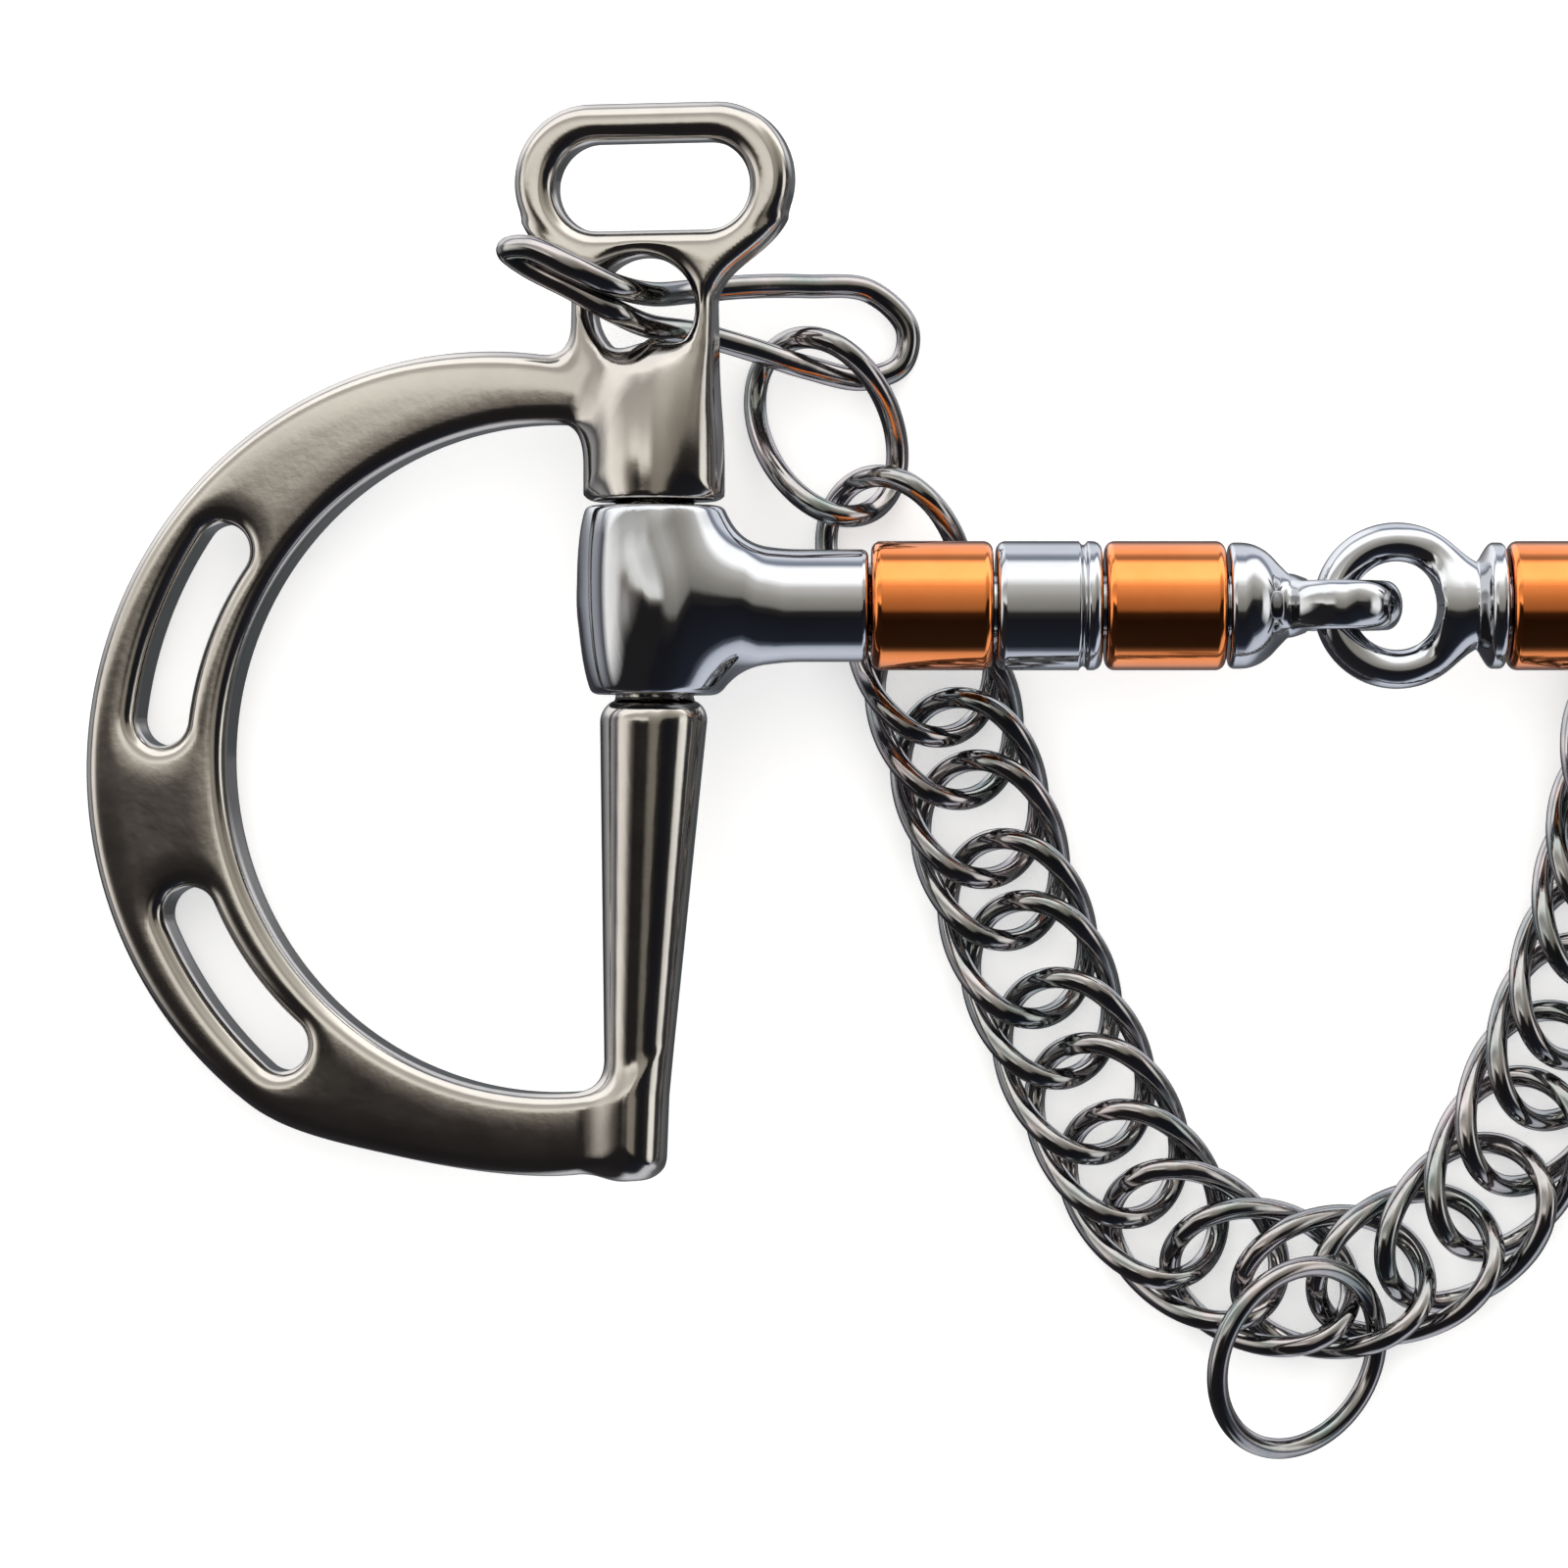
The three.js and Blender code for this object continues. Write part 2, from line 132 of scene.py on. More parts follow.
# wires
HOOK_WIRE = 2.5
RING_WIRE = 2.15
END_LINK = (9.8, 6.7, 2.7, 2.35)          # half length, half width, twist, wire
CURB_LINK = (9.6, 6.9, 3.1, 2.25)
HOOK_LINE = [
    (-50.5, 33.1, 2.6), (-57, 33.4, 5.4), (-63.4, 33.1, 8.6), (-68.8, 32.4, 11.3),
    (-72.8, 31.8, 15.6), (-76.4, 32.3, 19.6), (-81, 34.2, 21.4), (-85.2, 36.1, 20.9),
    (-87.4, 36, 19.4), (-85.6, 34.6, 18.6), (-81, 32.2, 18.8), (-76.9, 30, 18.3),
    (-73.2, 28.6, 14.8), (-68.6, 28.1, 11.4), (-63, 26.7, 9), (-57.2, 25, 6), (-51, 24, 2.5),
    (-47.2, 25.6, 1.6), (-46.6, 29.4, 1.6),
]
HOOK_AXIS_Z = 15.9                        # height of the mouthpiece axis in the hook's own numbers

PITCH = 0.36                              # spacing of the grid that the cast shapes are cut from


# ---- places taken from the frame ---------------------------------------------------------------
def joint_place(name):
    return Vector(JOINTS[name]["pos_m"])


LEFT_AXIS = joint_place("left_cheek_swivel")
RIGHT_AXIS = joint_place("right_cheek_swivel")
MIDDLE = (LEFT_AXIS + RIGHT_AXIS) / 2


def cheek_tilt():
    """The angle by which a cheek leans out, from the normal of its face mount."""
    mount = next(m for m in RECORD["mounts"] if m["name"] == "right_cheek_face")
    normal = Vector(mount["axis"])
    return math.atan2(normal.x, normal.z)


def cheek_place(side):
    sign = -1 if side == "left" else 1
    axis = LEFT_AXIS if side == "left" else RIGHT_AXIS
    return Matrix.Translation(axis) @ Matrix.Rotation(sign * cheek_tilt(), 4, "Y")


# ---- distance fields -----------------------------------------------------------------------------
def soft_min(a, b, reach):
    """Union of two fields with a fillet."""
    mix = np.clip(0.5 + 0.5 * (b - a) / reach, 0, 1)
    return b + (a - b) * mix - reach * mix * (1 - mix)


def soft_max(a, b, reach):
    return -soft_min(-a, -b, reach)


def disc(x, y, circle):
    return np.hypot(x - circle[0], y - circle[1]) - circle[2]


def stadium(x, y, size, drop=0.0):
    half_length, half_height = size
    along = np.maximum(np.abs(x) - (half_length - half_height), 0)
    return np.hypot(along, y - LOOP_Y + drop) - half_height


def slot(x, y, angles):
    """A slot of round ends that follows an arc."""
    centre_x, centre_y, radius = SLOT_ARC
    angle = np.degrees(np.arctan2(y - centre_y, x - centre_x)) % 360
    nearest = np.radians(np.clip(angle, *angles))
    from_arc = np.hypot(x - centre_x - radius * np.cos(nearest), y - centre_y - radius * np.sin(nearest))
    return from_arc - SLOT_HALF


def rounded_corner(out, end, rounding):
    """Two fields met at a right angle, with the corner rounded."""
    out = out + rounding
    end = end + rounding
    outside = np.hypot(np.maximum(out, 0), np.maximum(end, 0))
    return np.minimum(np.maximum(out, end), 0) + outside - rounding


def slab(outline, z, half, rounding):
    """An outline made into a plate of rounded edges."""
    return rounded_corner(outline, np.abs(z) - half, rounding)


def rod(along, across, low, high, radius, rounding):
    """A turned bar between low and high, its ends rounded."""
    return rounded_corner(across - radius, np.maximum(low - along, along - high), rounding)


def smooth_step(value, low, high):
    share = np.clip((value - low) / (high - low), 0, 1)
    return share * share * (3 - 2 * share)


def d_band(x, y):
    outer = disc(x, y, D_OUTER)
    for foot_x, foot_y, slope in D_FOOT:
        outer = soft_max(outer, foot_y + slope * (x - foot_x) - y, 2.0)
    outline = np.maximum(outer, -disc(x, y, D_INNER))
    return np.maximum(outline, x - D_FLAT_X)


def neck_outline(x, y):
    """From the bar's width at the bottom, over a waist, to a flare under the bridle loop."""
    flare = smooth_step(y, HOOK_HOLE[1] + 0.5, LOOP_Y - 3)
    foot = smooth_step(y, *NECK_FOOT)
    left = NECK_LEFT - NECK_FLARE[0] * flare + (BOSS_R + NECK_LEFT + 0.3) * -foot
    right = NECK_RIGHT + NECK_FLARE[1] * flare - 0.4 * foot
    sides = np.maximum(left - x, x - right)
    return np.maximum(sides, np.maximum(NECK_START - y, y - (LOOP_Y - LOOP_SLOT[1] - 0.4)))


def plate(x, y, z):
    """D, neck and bridle loop as one plate, pierced by the two rein slots, the strap slot and the
    round hole of the curb hook. Its faces are crowned towards the middle of the metal."""
    top = soft_min(neck_outline(x, y), stadium(x, y, LOOP_OUTER), 2.5)
    outline = soft_min(top, d_band(x, y), D_FILLET)
    outline = np.maximum(outline, -stadium(x, y, LOOP_SLOT, LOOP_SLOT_DROP))
    outline = np.maximum(outline, -disc(x, y, HOOK_HOLE))
    for angles in SLOT_ANGLES:
        outline = np.maximum(outline, -slot(x, y, angles))
    inward = np.clip(-outline / CROWN_REACH, 0, 1)
    thinner = smooth_step(y, *LOOP_THINS)
    half = PLATE_HALF + (LOOP_HALF - PLATE_HALF) * thinner
    rounding = PLATE_ROUND + (LOOP_ROUND - PLATE_ROUND) * thinner
    return slab(outline, z, half - PLATE_CROWN * (1 - inward) ** 2, rounding)


def boss_field(x, y, z):
    """The bar above the sleeve: full at the bottom, fading into the neck."""
    dome = np.sqrt(np.clip(1 - ((y - BOSS_FADES) / (BOSS_TOP - BOSS_FADES)) ** 2, 0.02, 1))
    radius = BOSS_R * np.where(y > BOSS_FADES, dome, 1)
    return rod(y, np.hypot(x, z), SLEEVE_TOP + CLEAR, BOSS_TOP, radius, 0.5)


def lower_bar(x, y, z):
    top = SLEEVE_BOTTOM - CLEAR
    shifted = x + BAR_LEAN * (top - y)
    share = np.clip((y - BAR_TAPER_END) / (top - BAR_TAPER_END), 0, 1)
    radius = BAR_END_R + (BAR_R - BAR_END_R) * share
    return rod(y, np.hypot(shifted, z), BAR_BOTTOM, top, radius, BAR_END_ROUND)


def cheek_field(x, y, z):
    flat = plate(x, y, z)
    upper = soft_min(flat, boss_field(x, y, z), 4.0)
    lower = soft_min(flat, lower_bar(x, y, z), 3.0)
    body = np.where(y > 0, upper, lower)
    across = np.hypot(x, z)
    room = np.maximum(SLEEVE_BOTTOM - CLEAR - y, y - SLEEVE_TOP - CLEAR)
    room = np.maximum(across - SLEEVE_ROOM_R, room)
    journal = rod(y, across, SLEEVE_BOTTOM - 4, SLEEVE_TOP + 4, JOURNAL_R, 0.4)
    return np.minimum(soft_max(body, -room, 0.4), journal)


def arm_field(x, y, z):
    """Sleeve round the cheek's journal, with the arm running along +X."""
    half = (SLEEVE_TOP - SLEEVE_BOTTOM) / 2
    middle = (SLEEVE_TOP + SLEEVE_BOTTOM) / 2
    swell = np.sqrt(np.clip(1 - ((y - middle) / (half + 0.5)) ** 2, 0, 1))
    lean = (y - SLEEVE_BOTTOM) / (SLEEVE_TOP - SLEEVE_BOTTOM)
    radius = SLEEVE_BOTTOM_R + (SLEEVE_TOP_R - SLEEVE_BOTTOM_R) * lean + SLEEVE_SWELL * swell
    sleeve = rod(y - middle, np.hypot(x, z), -half, half, radius, 0.7)
    across = np.hypot(y, z)
    root_x, root_reach = ARM_ROOT
    root = np.sqrt(np.clip(1 - (np.minimum(x - root_x, 0) / root_reach) ** 2, 0.01, 1))
    arm_r = root * (ARM_R + ARM_FLARE * (1 - smooth_step(x, 1, 15)))
    arm = rod(x, across, -5, ARM_END, arm_r, 0.7)
    body = soft_min(sleeve, arm, ARM_FILLET)
    ends = np.maximum(SLEEVE_BOTTOM - y, y - SLEEVE_TOP)
    body = soft_max(body, ends, 0.5)
    bore = np.hypot(x, z) - SLEEVE_BORE_R
    spindle = rod(x, across, ARM_END - 3, BAR_X + COLLAR_X + SPINDLE_REACH, SPINDLE_R, 0.3)
    return np.minimum(np.maximum(body, -bore), spindle)


def torus(across_ring, along_axis, ring):
    _, outer, hole, half = ring
    wall = (outer - hole) / 2
    flat = (across_ring - hole - wall) / wall
    tall = along_axis / half
    return (np.sqrt(flat ** 2 + tall ** 2) - 1) * min(wall, half)


def collar(x, across, dome_end, neck_r, end_x):
    """The turned end of an arm: a domed collar, a neck running into it, and its blind socket."""
    start = COLLAR_X + 1.2
    bulge = np.clip((x - start) / (dome_end - start), 0, 1)
    dome = rod(x, across, COLLAR_X, dome_end, COLLAR_R * np.sqrt(1 - 0.9 * bulge ** 2), 0.6)
    neck = rod(x, across, COLLAR_X + 2.5, end_x, neck_r, 0.3)
    socket = np.maximum(across - ROLLER_BORE_R, x - COLLAR_X - SOCKET_DEPTH)
    return soft_min(dome, neck, 2.4), socket


def looped_end(x, across, form, from_axis, along_axis, loop):
    """A collar with an eye or ring blended on, then the hole through it and the socket cut out."""
    *turned_form, fillet = form
    body, socket = collar(x, across, *turned_form)
    joined = soft_min(body, torus(from_axis, along_axis, loop), fillet)
    return np.maximum(np.maximum(joined, loop[2] - from_axis), -socket)


def eye_field(x, y, z):
    """Left end: the eye stands upright, so its hole runs along Y."""
    return looped_end(x, np.hypot(y, z), EYE_FORM, np.hypot(x - EYE[0], z), y, EYE)


def ring_field(x, y, z):
    """Right end, drawn as a left one and mirrored: the ring lies flat, so its hole runs along Z."""
    return looped_end(x, np.hypot(y, z), RING_FORM, np.hypot(x + RING[0], y), z, RING)


# ---- meshes ----------------------------------------------------------------------------------------
def mesh_object(name, points, faces, place=None):
    mesh = bpy.data.meshes.new(name)
    mesh.from_pydata([tuple(point) for point in points], [], [tuple(face) for face in faces])
    mesh.validate()
    mesh.shade_smooth()
    piece = bpy.data.objects.new(name, mesh)
    bpy.context.scene.collection.objects.link(piece)
    if place is not None:
        mesh.transform(place)
    return piece


def settle(points, field):
    """Moves points of the grid's surface onto the field's own surface."""
    step = 0.02
    for _ in range(2):
        x, y, z = points.T
        value = field(x, y, z)
        slope = np.stack([
            field(x + step, y, z) - field(x - step, y, z),
            field(x, y + step, z) - field(x, y - step, z),
            field(x, y, z + step) - field(x, y, z - step),
        ], axis=1) / (2 * step)
        size = np.maximum((slope ** 2).sum(1), 0.25)
        move = -slope * (value / size)[:, None]
        points = points + np.clip(move, -PITCH / 2, PITCH / 2)
    return points


def cast(name, field, low, high, place, mirror=False, pitch=PITCH):
    """A cast piece: the zero surface of a distance field, in millimetres, placed in the frame."""
    low = np.array(low, float)
    counts = np.ceil((np.array(high) - low) / pitch).astype(int) + 1
    axes = [low[i] + pitch * np.arange(counts[i]) for i in range(3)]
    x, y, z = np.meshgrid(*axes, indexing="ij")
    band = 3 * pitch
    values = np.clip(field(x, y, z), -band, band).astype(np.float32)
    grid = openvdb.FloatGrid(band)
    grid.copyFromArray(values)
    points, quads = grid.convertToQuads(0.0)
    points = settle(low + points * pitch, field)
    if mirror:
        points = points * np.array([-1, 1, 1])
    a, b, c = (points[quads[:, i]] for i in range(3))
    volume = np.einsum("ij,ij->i", a, np.cross(b, c)).sum()
    if volume < 0:
        quads = quads[:, ::-1]
    return mesh_object(name, points * MM, quads, place)


def wire_rings(line, radius, sides):
    """Vertices of a closed round wire along a closed line, without twist build-up."""
    line = np.array(line, float)
    count = len(line)
    tangents = np.roll(line, -1, axis=0) - np.roll(line, 1, axis=0)
    tangents /= np.linalg.norm(tangents, axis=1)[:, None]
    normal = np.cross(tangents[0], (0.31, 0.17, 0.94))
    frames = []
    for tangent in tangents:
        normal = normal - tangent * np.dot(normal, tangent)
        normal /= np.linalg.norm(normal)
        frames.append((normal.copy(), np.cross(tangent, normal)))
    last = frames[-1][0] - tangents[0] * np.dot(frames[-1][0], tangents[0])
    turn = math.atan2(np.dot(last, frames[0][1]), np.dot(last, frames[0][0]))
    rings = []
    for i, (first, second) in enumerate(frames):
        offset = -turn * i / count
        for k in range(sides):
            angle = 2 * math.pi * k / sides + offset
            rings.append(line[i] + radius * (math.cos(angle) * first + math.sin(angle) * second))
    return rings


def closed_wire(name, line, radius, sides, place=None):
    count = len(line)
    points = np.array(wire_rings(line, radius, sides)) * MM
    faces = []
    for i in range(count):
        after = (i + 1) % count
        for k in range(sides):
            side = (k + 1) % sides
            faces.append((i * sides + k, i * sides + side, after * sides + side, after * sides + k))
    return mesh_object(name, points, faces, place)


def turned(name, profile, centre, sides=96):
    """Turns (x, radius) points, in metres, round the X axis through centre. The profile is closed."""
    count = len(profile)
    points = []
    faces = []
    for i in range(sides):
        angle = 2 * math.pi * i / sides
        for x, radius in profile:
            points.append((x, centre.y + radius * math.cos(angle), centre.z + radius * math.sin(angle)))
        after = (i + 1) % sides
        for k in range(count):
            up = (k + 1) % count
            faces.append((i * count + k, after * count + k, after * count + up, i * count + up))
    return mesh_object(name, points, faces)


# ---- materials -------------------------------------------------------------------------------------
def new_material(name, metallic):
    material = bpy.data.materials.new(name)
    material.use_nodes = True
    shader = material.node_tree.nodes["Principled BSDF"]
    shader.inputs["Metallic"].default_value = metallic
    return material, material.node_tree, shader


def noise(tree, scale, detail, stretch=(1, 1, 1), roughness=0.5):
    coordinates = tree.nodes.new("ShaderNodeTexCoord")
    mapping = tree.nodes.new("ShaderNodeMapping")
    mapping.inputs["Scale"].default_value = stretch
    texture = tree.nodes.new("ShaderNodeTexNoise")
    texture.inputs["Scale"].default_value = scale
    texture.inputs["Detail"].default_value = detail
    texture.inputs["Roughness"].default_value = roughness
    tree.links.new(coordinates.outputs["Object"], mapping.inputs["Vector"])
    tree.links.new(mapping.outputs["Vector"], texture.inputs["Vector"])
    return texture


def ramp(tree, source, stops):
    node = tree.nodes.new("ShaderNodeValToRGB")
    elements = node.color_ramp.elements
    while len(elements) < len(stops):
        elements.new(0.5)
    for element, (position, color) in zip(elements, stops):
        element.position = position
        element.color = (*color, 1)
    tree.links.new(source, node.inputs["Fac"])
    return node


def ranged(tree, source, low, high):
    node = tree.nodes.new("ShaderNodeMapRange")
    node.inputs["To Min"].default_value = low
    node.inputs["To Max"].default_value = high
    tree.links.new(source, node.inputs["Value"])
    return node.outputs["Result"]


def metal(name, dark, light, rough, grain_scale, grain_height, tint_scale=60, stretch=(1, 1, 1)):
    """A polished metal: cloudy tint, uneven polish and a fine grain, all from noise."""
    material, tree, shader = new_material(name, 1.0)
    cloud = noise(tree, tint_scale, 5, roughness=0.6)
    tint = ramp(tree, cloud.outputs["Fac"], [(0.3, dark), (0.7, light)])
    tree.links.new(tint.outputs["Color"], shader.inputs["Base Color"])
    polish = noise(tree, tint_scale * 4, 4, stretch)
    tree.links.new(ranged(tree, polish.outputs["Fac"], rough[0], rough[1]), shader.inputs["Roughness"])
    grain = noise(tree, grain_scale, 3, stretch)
    bump = tree.nodes.new("ShaderNodeBump")
    bump.inputs["Strength"].default_value = 0.35
    bump.inputs["Distance"].default_value = grain_height
    tree.links.new(grain.outputs["Fac"], bump.inputs["Height"])
    tree.links.new(bump.outputs["Normal"], shader.inputs["Normal"])
    return material


# dark and light tint, roughness range, grain scale and height in metres, tint scale
CHEEK_STEEL = metal("cheek_steel", (0.42, 0.395, 0.37), (0.54, 0.515, 0.48), (0.08, 0.14),
                    900, 0.000015)
MOUTH_STEEL = metal("mouthpiece_steel", (0.45, 0.46, 0.485), (0.53, 0.54, 0.565), (0.04, 0.09),
                    500, 0.00001)
CHAIN_STEEL = metal("chain_steel", (0.23, 0.27, 0.262), (0.46, 0.405, 0.41), (0.07, 0.13),
                    800, 0.00002, 170)
COPPER = metal("copper", (0.84, 0.225, 0.045), (0.92, 0.285, 0.075), (0.07, 0.12),
               600, 0.00001, 90)
COPPER.node_tree.nodes["Principled BSDF"].inputs["Coat Weight"].default_value = 0.4


def finish(piece, body, material, slot_name, *nodes):
    piece.data.materials.append(material)
    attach(piece, body)
    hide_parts(*nodes)


# ---- pieces ----------------------------------------------------------------------------------------
def build_cheek(side):
    piece = cast(f"{side}_cheek_casting", cheek_field, (-61, -61, -7.2), (16, 53, 7.2),
                 cheek_place(side), mirror=side == "right")
    finish(piece, f"{side}_cheek", CHEEK_STEEL, "cheek_steel", f"{side}_cheek")


def build_arm(side):
    axis = LEFT_AXIS if side == "left" else RIGHT_AXIS
    piece = cast(f"{side}_mouth_arm_forging", arm_field, (-9, -11, -9), (61.5, 12, 9),
                 Matrix.Translation(axis), mirror=side == "right", pitch=0.3)
    finish(piece, f"{side}_canon", MOUTH_STEEL, "mouthpiece_steel", f"{side}_mouth_arm")


def build_joint():
    place = Matrix.Translation(MIDDLE)
    eye = cast("left_joint_eye_forging", eye_field, (-15, -8, -8), (5, 8, 8), place, pitch=0.2)
    finish(eye, "left_canon", MOUTH_STEEL, "mouthpiece_steel", "left_joint_eye")
    ring = cast("right_joint_ring_forging", ring_field, (-15, -10, -8), (7, 10, 8), place,
                mirror=True, pitch=0.2)
    finish(ring, "right_canon", MOUTH_STEEL, "mouthpiece_steel", "right_joint_ring")


def roller_profile(start, end, radius, groove=None):
    """A tube with rounded rims, as (x, radius) points, with a shallow groove turned in it."""
    edge = ROLLER_EDGE * MM
    bore = ROLLER_BORE_R * MM
    steps = 8
    rim = [(start, bore), (start, bore + edge / 4)]
    for i in range(steps + 1):
        angle = math.pi / 2 * i / steps
        rim.append((start + edge * (1 - math.cos(angle)), radius - edge * (1 - math.sin(angle))))
    rim.append((start + edge * 1.2, radius))
    cut = []
    if groove is not None:
        half, depth = GROOVE[1] * MM, GROOVE[2] * MM
        cut.append((groove - half * 1.4, radius))
        for i in range(-4, 5):
            cut.append((groove + half * i / 4, radius - depth * math.cos(math.pi / 8 * i)))
        cut.append((groove + half * 1.4, radius))
    return rim + cut + [(start + end - x, r) for x, r in reversed(rim)]


def build_rollers(side):
    for kind, material, slot_name in (
        ("outer_copper_roller", COPPER, "copper"),
        ("steel_roller", MOUTH_STEEL, "mouthpiece_steel"),
        ("inner_copper_roller", COPPER, "copper"),
    ):
        node = f"{side}_{kind}"
        low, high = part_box(node)
        centre = (low + high) / 2
        groove = None
        if kind == "steel_roller":
            groove = high.x - GROOVE[0] * MM if side == "left" else low.x + GROOVE[0] * MM
        profile = roller_profile(low.x, high.x, (high.z - low.z) / 2, groove)
        piece = turned(f"{node}_shell", profile, centre)
        finish(piece, node, material, slot_name, node)


def catmull_rom(points, steps):
    """A closed centripetal Catmull-Rom line through the points."""
    points = np.array(points, float)
    count = len(points)
    line = []
    for i in range(count):
        p0, p1, p2, p3 = (points[(i + k - 1) % count] for k in range(4))
        d1, d2, d3 = (np.sqrt(np.linalg.norm(b - a)) for a, b in ((p0, p1), (p1, p2), (p2, p3)))
        t1 = (p1 - p0) / d1 - (p2 - p0) / (d1 + d2) + (p2 - p1) / d2
        t2 = (p2 - p1) / d2 - (p3 - p1) / (d2 + d3) + (p3 - p2) / d3
        t1, t2 = t1 * d2, t2 * d2
        for k in range(steps):
            t = k / steps
            line.append((2 * t**3 - 3 * t**2 + 1) * p1 + (t**3 - 2 * t**2 + t) * t1
                        + (3 * t**2 - 2 * t**3) * p2 + (t**3 - t**2) * t2)
    return line


def build_hook(side):
    sign = 1 if side == "left" else -1
    line = catmull_rom([(sign * x, y, z - HOOK_AXIS_Z) for x, y, z in HOOK_LINE], 14)
    piece = closed_wire(f"{side}_curb_hook_wire", line, HOOK_WIRE / 2, 20, Matrix.Translation(MIDDLE))
    node = f"{side}_curb_hook"
    finish(piece, node, CHAIN_STEEL, "chain_steel", node)


def vertices_of(node):
    return np.array([vertex.co for vertex in frame["nodes"][node].data.vertices], float)


def link_place(node):
    """A link's middle from its box, and its heading from how its vertices spread."""
    low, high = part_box(node)
    spread = np.cov(vertices_of(node)[:, :2].T)
    heading = 0.5 * math.atan2(2 * spread[0, 1], spread[0, 0] - spread[1, 1])
    return Matrix.Translation((low + high) / 2) @ Matrix.Rotation(heading, 4, "Z")


def link_line(size, steps=112):
    half_length, half_width, twist, _ = size
    angles = [2 * math.pi * i / steps for i in range(steps)]
    return [(half_length * math.cos(a), half_width * math.sin(a), -twist * math.sin(2 * a))
            for a in angles]


def build_link(node, size):
    piece = closed_wire(f"{node}_wire", link_line(size), size[3] / 2, 18, link_place(node))
    finish(piece, node, CHAIN_STEEL, "chain_steel", node)


def build_chain():
    for node in sorted(frame["nodes"]):
        if node.startswith("curb_link_"):
            build_link(node, CURB_LINK)
        elif node.endswith(("_hook_link", "_end_link")):
            build_link(node, END_LINK)


def build_strap_ring():
    """The ring's middle and plane come from its CAD vertices."""
    node = "lip_strap_ring"
    points = vertices_of(node)
    centre = points.mean(0)
    _, _, directions = np.linalg.svd(points - centre)
    normal = Vector(directions[2])
    radius = np.linalg.norm(points - centre, axis=1).max() / MM - RING_WIRE / 2
    steps = 160
    angles = [2 * math.pi * i / steps for i in range(steps)]
    line = [(radius * math.cos(a), radius * math.sin(a), 0) for a in angles]
    place = Matrix.Translation(centre) @ normal.to_track_quat("Z", "Y").to_matrix().to_4x4()
    piece = closed_wire("lip_strap_ring_wire", line, RING_WIRE / 2, 20, place)
    finish(piece, node, CHAIN_STEEL, "chain_steel", node)


# ---- stage, light and camera -------------------------------------------------------------------------
CAMERA_HEIGHT = 650.0                      # over the mouthpiece
VIEW_WIDTH = 160.0                         # of the mouthpiece's plane
VIEW_MIDDLE = (-59.4, -18.2)               # from the middle of the mouthpiece


def build_floor():
    size = 3.0
    corners = [(-size, -size, 0), (size, -size, 0), (size, size, 0), (-size, size, 0)]
    surface = Matrix.Translation((0, 0, CAD_BOX[0][2] - 0.0002))
    floor = mesh_object("floor", corners, [(0, 1, 2, 3)], surface)
    material, tree, shader = new_material("pale_floor", 0.0)
    tint = ramp(tree, noise(tree, 3, 2).outputs["Fac"],
                [(0.3, (0.90, 0.90, 0.90)), (0.7, (0.93, 0.93, 0.93))])
    tree.links.new(tint.outputs["Color"], shader.inputs["Base Color"])
    shader.inputs["Roughness"].default_value = 0.7
    shader.inputs["Specular IOR Level"].default_value = 0.2
    shader.inputs["Emission Color"].default_value = (1, 1, 1, 1)
    shader.inputs["Emission Strength"].default_value = 0.45
    floor.data.materials.append(material)
    floor.visible_glossy = False


SKY_STRENGTH = 2.0
SKY_SLANT = 0.5                            # the dark half reaches further back on the left
SKY_ALONG_Y = [   # degrees from the zenith, front negative; colours are half of the true value
    (-180, (0.05, 0.055, 0.06)), (-150, (0.10, 0.105, 0.115)), (-134, (0.38, 0.40, 0.44)),
    (-118, (0.50, 0.52, 0.57)), (-104, (0.46, 0.48, 0.53)), (-95, (0.36, 0.38, 0.43)),
    (-89, (0.07, 0.08, 0.10)), (-80, (0.012, 0.014, 0.02)), (-28, (0.008, 0.008, 0.010)),
    (-15, (0.020, 0.018, 0.016)), (-8, (0.17, 0.16, 0.14)), (12, (0.28, 0.262, 0.23)),
    (34, (0.48, 0.465, 0.43)), (50, (1.1, 1.09, 1.05)), (80, (1.0, 1.0, 1.0)),
    (90, (0.18, 0.20, 0.24)), (98, (0.24, 0.26, 0.30)), (108, (0.60, 0.62, 0.67)),
    (132, (0.54, 0.56, 0.60)), (150, (0.10, 0.105, 0.115)), (180, (0.05, 0.055, 0.06)),
]
SKY_LEFT = [      # the same over the left cheek, where it turns from dark to light close to the zenith
    (-180, (0.03, 0.03, 0.035)), (-60, (0.012, 0.011, 0.012)), (-5, (0.012, 0.011, 0.011)),
    (-2.4, (0.014, 0.012, 0.012)), (-0.6, (0.030, 0.025, 0.023)), (1.2, (0.11, 0.10, 0.088)),
    (3, (0.30, 0.28, 0.243)), (4.4, (0.62, 0.61, 0.56)), (9, (0.70, 0.69, 0.65)),
    (20, (0.42, 0.41, 0.38)), (38, (0.36, 0.35, 0.33)), (50, (1.0, 1.0, 0.97)),
    (84, (0.95, 0.95, 0.95)), (92, (0.24, 0.25, 0.27)), (100, (0.5, 0.5, 0.52)),
    (112, (0.9, 0.9, 0.92)), (150, (0.7, 0.71, 0.73)), (166, (0.2, 0.2, 0.21)),
    (180, (0.03, 0.03, 0.035)),
]
SKY_LEFT_LEAN = (29, 0.5, 2.0)             # middle of the left part, its slant, the most it shifts
SKY_LEFT_FROM = (-14, -5.5)                # it shows in full to the left of the first
SKY_DUSK = (9, 29, 1.2)                    # darkens between these on the right, by this slope
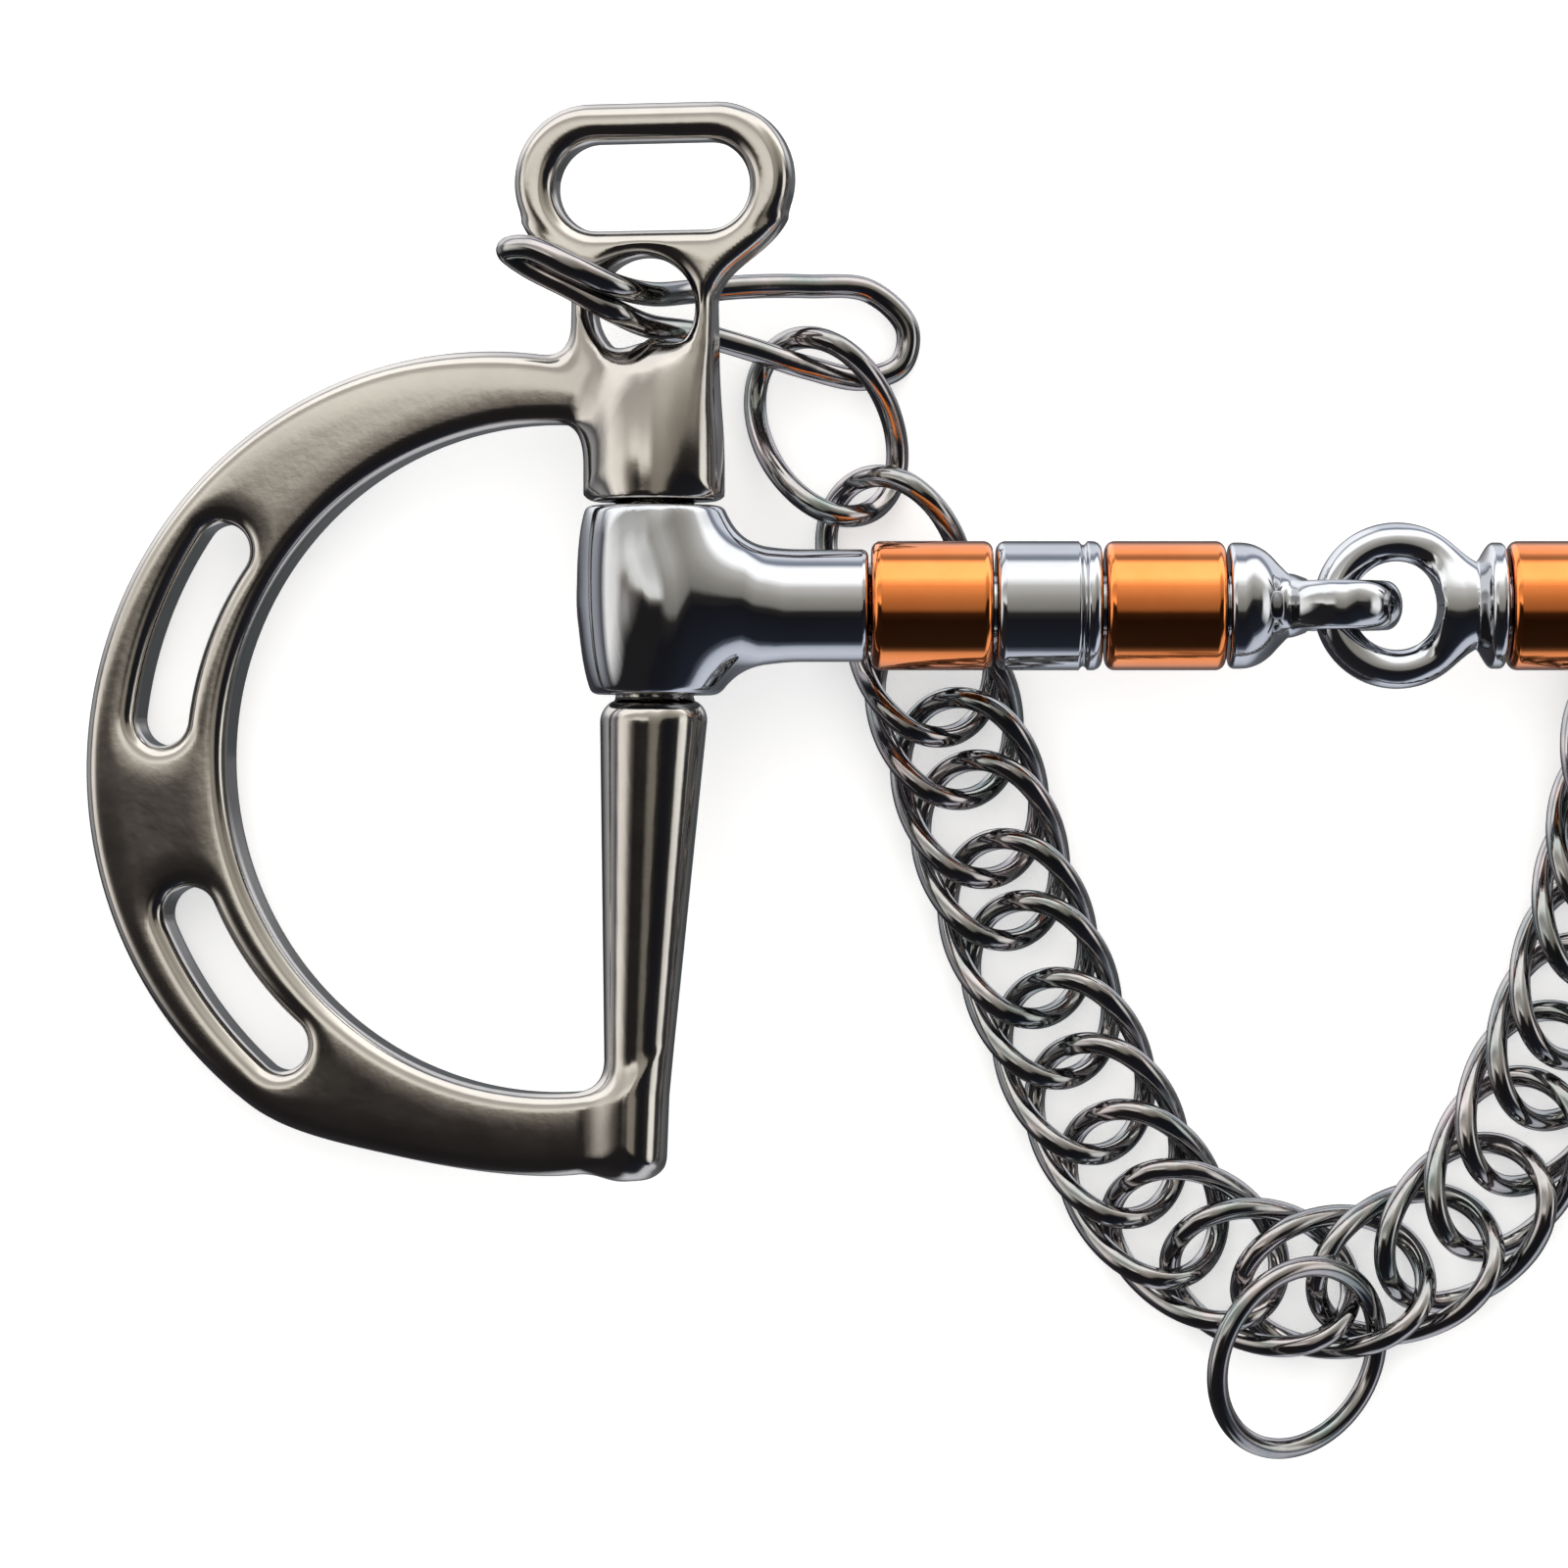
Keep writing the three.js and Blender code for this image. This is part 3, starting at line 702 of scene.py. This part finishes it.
SKY_ALONG_X = [   # degrees from the zenith, left negative
    (-180, (0.06, 0.06, 0.065)), (-140, (0.20, 0.21, 0.23)), (-112, (0.30, 0.31, 0.33)),
    (-96, (0.22, 0.225, 0.24)), (-86, (0.05, 0.05, 0.055)), (-76, (0.78, 0.76, 0.73)),
    (-58, (0.64, 0.62, 0.58)), (-46, (0.20, 0.18, 0.165)), (-34, (0.12, 0.11, 0.10)),
    (30, (0.03, 0.027, 0.025)), (56, (0.016, 0.016, 0.016)), (61, (0.78, 0.78, 0.75)),
    (76, (0.78, 0.78, 0.76)), (81, (0.018, 0.018, 0.02)), (96, (0.03, 0.03, 0.033)),
    (115, (0.11, 0.115, 0.12)), (145, (0.12, 0.12, 0.13)), (180, (0.06, 0.06, 0.065)),
]


def sky_angle(tree, across, up):
    """Angle from the zenith, in degrees."""
    return sky_math(tree, "DEGREES", sky_math(tree, "ARCTAN2", across, up))


def sky_ramp(tree, angle, stops):
    share = tree.nodes.new("ShaderNodeMapRange")
    share.inputs["From Min"].default_value = -180
    share.inputs["From Max"].default_value = 180
    tree.links.new(angle, share.inputs["Value"])
    return ramp(tree, share.outputs["Result"], [(0.5 + degrees / 360, color) for degrees, color in stops])


def sky_math(tree, operation, first, second=None):
    node = tree.nodes.new("ShaderNodeMath")
    node.operation = operation
    for socket, value in zip(node.inputs, (first, second)):
        if isinstance(value, (int, float)):
            socket.default_value = value
        elif value is not None:
            tree.links.new(value, socket)
    return node.outputs[0]


def sky_clamp(tree, value, low, high):
    return sky_math(tree, "MINIMUM", sky_math(tree, "MAXIMUM", value, low), high)


def sky_mix(tree, share, first, second):
    mix = tree.nodes.new("ShaderNodeMix")
    mix.data_type = "RGBA"
    tree.links.new(share, mix.inputs["Factor"])
    tree.links.new(first, mix.inputs["A"])
    tree.links.new(second, mix.inputs["B"])
    return mix.outputs["Result"]


def build_sky():
    """A studio tent: grey over the far half, dark over the near half, bright low round the object."""
    world = bpy.data.worlds.new("studio")
    bpy.context.scene.world = world
    world.use_nodes = True
    tree = world.node_tree
    coordinates = tree.nodes.new("ShaderNodeTexCoord")
    split = tree.nodes.new("ShaderNodeSeparateXYZ")
    tree.links.new(coordinates.outputs["Generated"], split.inputs[0])
    along_y = sky_angle(tree, split.outputs["Y"], split.outputs["Z"])
    along_x = sky_angle(tree, split.outputs["X"], split.outputs["Z"])
    lean = sky_math(tree, "DEGREES", sky_math(tree, "ARCSINE", split.outputs["X"]))
    slant = sky_math(tree, "MULTIPLY", sky_clamp(tree, lean, -12, 0), SKY_SLANT)
    near, far, steepness = SKY_DUSK
    beyond = sky_math(tree, "SUBTRACT", sky_clamp(tree, lean, near, far), near)
    shift = sky_math(tree, "ADD", slant, sky_math(tree, "MULTIPLY", beyond, -steepness))
    whole = sky_ramp(tree, sky_math(tree, "ADD", shift, along_y), SKY_ALONG_Y).outputs["Color"]
    middle, steepness, most = SKY_LEFT_LEAN
    shift = sky_math(tree, "MULTIPLY", sky_math(tree, "ADD", lean, middle), steepness)
    shift = sky_clamp(tree, shift, -most, most)
    left = sky_ramp(tree, sky_math(tree, "ADD", shift, along_y), SKY_LEFT).outputs["Color"]
    far, near = SKY_LEFT_FROM
    inside = sky_math(tree, "SUBTRACT", sky_clamp(tree, lean, far, near), near)
    left_share = sky_math(tree, "DIVIDE", inside, far - near)
    whole = sky_mix(tree, left_share, whole, left)
    sides = sky_ramp(tree, along_x, SKY_ALONG_X).outputs["Color"]
    sideways = sky_math(tree, "ABSOLUTE", split.outputs["X"])
    lengthways = sky_math(tree, "MULTIPLY", sky_math(tree, "ABSOLUTE", split.outputs["Y"]), 0.6)
    side_share = ramp(tree, sky_math(tree, "SUBTRACT", sideways, lengthways),
                      [(0.55, (0, 0, 0)), (0.85, (1, 1, 1))]).outputs["Color"]
    whole = sky_mix(tree, side_share, whole, sides)
    background = tree.nodes["Background"]
    background.inputs["Strength"].default_value = SKY_STRENGTH
    tree.links.new(whole, background.inputs["Color"])
    pale = tree.nodes.new("ShaderNodeBackground")
    pale.inputs["Color"].default_value = (0.9, 0.9, 0.9, 1)
    seen = tree.nodes.new("ShaderNodeLightPath")
    switch = tree.nodes.new("ShaderNodeMixShader")
    tree.links.new(seen.outputs["Is Camera Ray"], switch.inputs["Fac"])
    tree.links.new(background.outputs[0], switch.inputs[1])
    tree.links.new(pale.outputs[0], switch.inputs[2])
    tree.links.new(switch.outputs[0], tree.nodes["World Output"].inputs["Surface"])


def build_light():
    """One broad soft light over the object."""
    light = bpy.data.lights.new("overhead", "AREA")
    light.shape = "SQUARE"
    light.size = 2.6
    light.energy = 20
    lamp = bpy.data.objects.new("overhead", light)
    lamp.location = (0, 0, 1.5)
    lamp.visible_glossy = False
    bpy.context.scene.collection.objects.link(lamp)


def build_camera():
    """Straight above the left half of the bit."""
    camera = bpy.data.cameras.new("camera")
    camera.sensor_width = 36
    camera.lens = camera.sensor_width * CAMERA_HEIGHT / VIEW_WIDTH
    camera.clip_start = 0.01
    seer = bpy.data.objects.new("camera", camera)
    seer.location = MIDDLE + Vector((*VIEW_MIDDLE, CAMERA_HEIGHT)) * MM
    bpy.context.scene.collection.objects.link(seer)
    bpy.context.scene.camera = seer


build_camera()
build_sky()
build_light()
build_floor()
for each_side in ("left", "right"):
    build_cheek(each_side)
    build_arm(each_side)
    build_rollers(each_side)
    build_hook(each_side)
build_joint()
build_chain()
build_strap_ring()
bpy.context.scene.view_settings.view_transform = "Standard"
